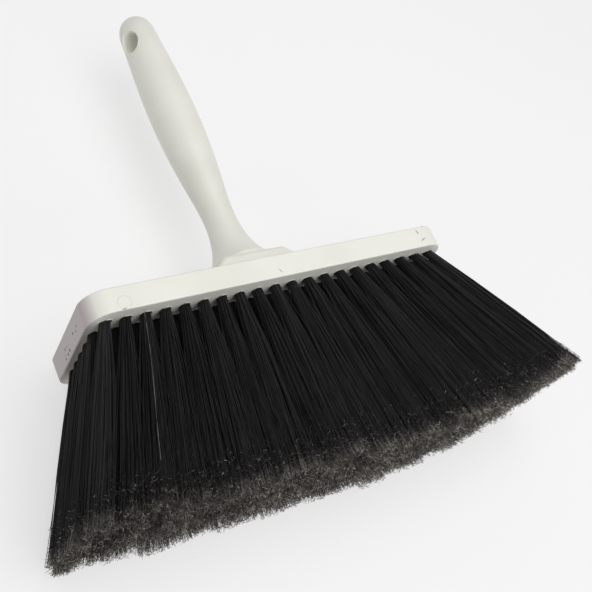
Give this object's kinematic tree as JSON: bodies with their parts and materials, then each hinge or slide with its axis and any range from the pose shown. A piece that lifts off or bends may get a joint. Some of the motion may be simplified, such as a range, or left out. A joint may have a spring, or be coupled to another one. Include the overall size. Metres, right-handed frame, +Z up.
{
  "type": "hand brush",
  "caption": "Wide white plastic hand brush with a short upright grip handle on a flat block of flared black bristle tufts.",
  "frame": {"origin": "middle of the block's long side face that the brush lies on", "axes": "+X along the block, +Y along the handle away from the bristles, +Z up through the block's depth"},
  "size_m": [0.3624, 0.358, 0.097],
  "materials": {
    "block_plastic": "off-white moulded polypropylene, satin",
    "handle_plastic": "off-white moulded polypropylene, satin, smooth grip",
    "screw_steel": "zinc-plated steel",
    "bristle": "black extruded plastic filament, flagged grey at the tips",
    "anchor_wire": "flat galvanised anchor wire"
  },
  "bodies": {
    "root": {"block": "block_plastic", "handle": "handle_plastic", "handle_screws": "screw_steel", "tuft_column_01": "bristle", "tuft_column_02": "bristle", "tuft_column_03": "bristle", "tuft_column_04": "bristle", "tuft_column_05": "bristle", "tuft_column_06": "bristle", "tuft_column_07": "bristle", "tuft_column_08": "bristle", "tuft_column_09": "bristle", "tuft_column_10": "bristle", "tuft_column_11": "bristle", "tuft_column_12": "bristle", "tuft_column_13": "bristle", "tuft_column_14": "bristle", "tuft_column_15": "bristle", "tuft_column_16": "bristle", "tuft_column_17": "bristle", "tuft_column_18": "bristle", "tuft_column_19": "bristle", "tuft_column_20": "bristle", "anchor_column_01": "anchor_wire", "anchor_column_02": "anchor_wire", "anchor_column_03": "anchor_wire", "anchor_column_04": "anchor_wire", "anchor_column_05": "anchor_wire", "anchor_column_06": "anchor_wire", "anchor_column_07": "anchor_wire", "anchor_column_08": "anchor_wire", "anchor_column_09": "anchor_wire", "anchor_column_10": "anchor_wire", "anchor_column_11": "anchor_wire", "anchor_column_12": "anchor_wire", "anchor_column_13": "anchor_wire", "anchor_column_14": "anchor_wire", "anchor_column_15": "anchor_wire", "anchor_column_16": "anchor_wire", "anchor_column_17": "anchor_wire", "anchor_column_18": "anchor_wire", "anchor_column_19": "anchor_wire", "anchor_column_20": "anchor_wire"}
  },
  "joints": []
}
